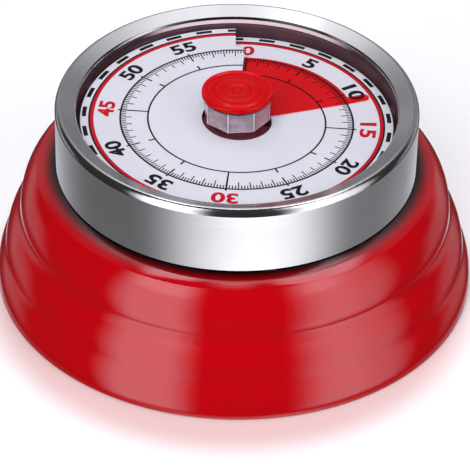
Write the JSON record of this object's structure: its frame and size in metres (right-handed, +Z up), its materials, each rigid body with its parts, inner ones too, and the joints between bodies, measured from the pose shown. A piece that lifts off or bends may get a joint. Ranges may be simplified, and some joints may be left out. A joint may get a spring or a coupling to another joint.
{
  "type": "visual countdown timer",
  "caption": "Round mechanical countdown timer: tiered red body, steel bezel, spiral 60-minute dial with a red film sector, clear and red knob, magnet back.",
  "frame": {"origin": "on the axis, at the plane that the timer stands on", "axes": "+Z up along the axis out of the dial; +Y towards minute 0; minutes run clockwise seen from above"},
  "size_m": [0.078, 0.078, 0.0355],
  "materials": {
    "body_red": "high-gloss moulded",
    "bezel_steel": "polished stainless steel",
    "carrier_maroon": "satin moulded",
    "dial_white": "printed sheet",
    "lens_clear": "clear moulded plastic",
    "cover_black": "fine grain",
    "magnet_ferrite": "ground ferrite",
    "antislip_rubber": "matt",
    "screw_steel": "zinc plated",
    "film_red": "translucent film",
    "grip_clear": "clear moulded plastic",
    "cap_red": "high-gloss moulded",
    "arbor_steel": "turned",
    "wheel_brass": "stamped",
    "spring_steel": "blued",
    "plate_brass": "stamped and brushed",
    "gong_steel": "nickel plated"
  },
  "bodies": {
    "case": {"base_shell": "body_red", "bezel_ring": "bezel_steel", "dial_carrier": "carrier_maroon", "dial_plate": "dial_white", "dial_lens": "lens_clear", "back_cover": "cover_black", "magnet": "magnet_ferrite", "antislip_ring": "antislip_rubber", "cover_screws": "screw_steel", "mainspring": "spring_steel", "spring_post": "arbor_steel", "front_plate": "plate_brass", "back_plate": "plate_brass", "pillars": "arbor_steel", "pillar_screws": "screw_steel", "carrier_screws": "screw_steel", "gong": "gong_steel", "gong_post": "arbor_steel", "gong_screw": "screw_steel", "hammer_spring": "spring_steel"},
    "arbor": {"main_arbor": "arbor_steel", "great_wheel": "wheel_brass", "strike_cam": "wheel_brass"},
    "knob": {"knob_grip": "grip_clear", "knob_cap": "cap_red", "film_disc": "film_red", "film_hub": "carrier_maroon"},
    "second_stage": {"second_arbor": "arbor_steel", "second_wheel": "wheel_brass"},
    "third_stage": {"third_arbor": "arbor_steel", "third_wheel": "wheel_brass"},
    "escape_stage": {"escape_arbor": "arbor_steel", "escape_wheel": "wheel_brass"},
    "pallet": {"pallet_lever": "arbor_steel", "pallet_arbor": "arbor_steel", "balance_bar": "wheel_brass"},
    "hammer": {"hammer_arbor": "arbor_steel", "hammer_head": "wheel_brass", "hammer_tail": "arbor_steel"}
  },
  "joints": [
    {"name": "knob_turn", "type": "hinge", "parent": "case", "child": "arbor", "pos_m": [0, 0, 0.0325], "axis": [0, 0, -1], "range_deg": [-68.2, 291.8]},
    {"name": "knob_lift", "type": "slide", "parent": "arbor", "child": "knob", "axis": [0, 0, 1], "range_m": [-0.00032, 0.00138]},
    {"name": "second_turn", "type": "hinge", "parent": "case", "child": "second_stage", "pos_m": [-0.01697, 0.00618, 0.0206], "axis": [0, 0, -1], "range_deg": [-1459, 341]},
    {"name": "third_turn", "type": "hinge", "parent": "case", "child": "third_stage", "pos_m": [-0.01764, -0.00386, 0.0182], "axis": [0, 0, -1], "range_deg": [-1364, 5836]},
    {"name": "escape_turn", "type": "hinge", "parent": "case", "child": "escape_stage", "pos_m": [-0.01275, -0.01279, 0.0154], "axis": [0, 0, -1], "range_deg": [-23344, 5456]},
    {"name": "pallet_rock", "type": "hinge", "parent": "case", "child": "pallet", "pos_m": [-0.00636, -0.0169, 0.0165], "axis": [0, 0, 1], "range_deg": [-5, 5]},
    {"name": "hammer_swing", "type": "hinge", "parent": "case", "child": "hammer", "pos_m": [0.01616, 0.00588, 0.0165], "axis": [0, 0, 1], "range_deg": [0, 20], "stiffness_Nm_per_rad": 0.0008, "springref_deg": -11.46}
  ],
  "couplings": [
    {"joint": "knob_lift", "follows": "knob_turn", "m_per_rad": 0.00027056},
    {"joint": "second_turn", "follows": "knob_turn", "ratio": -5},
    {"joint": "third_turn", "follows": "knob_turn", "ratio": 20},
    {"joint": "escape_turn", "follows": "knob_turn", "ratio": -80}
  ]
}
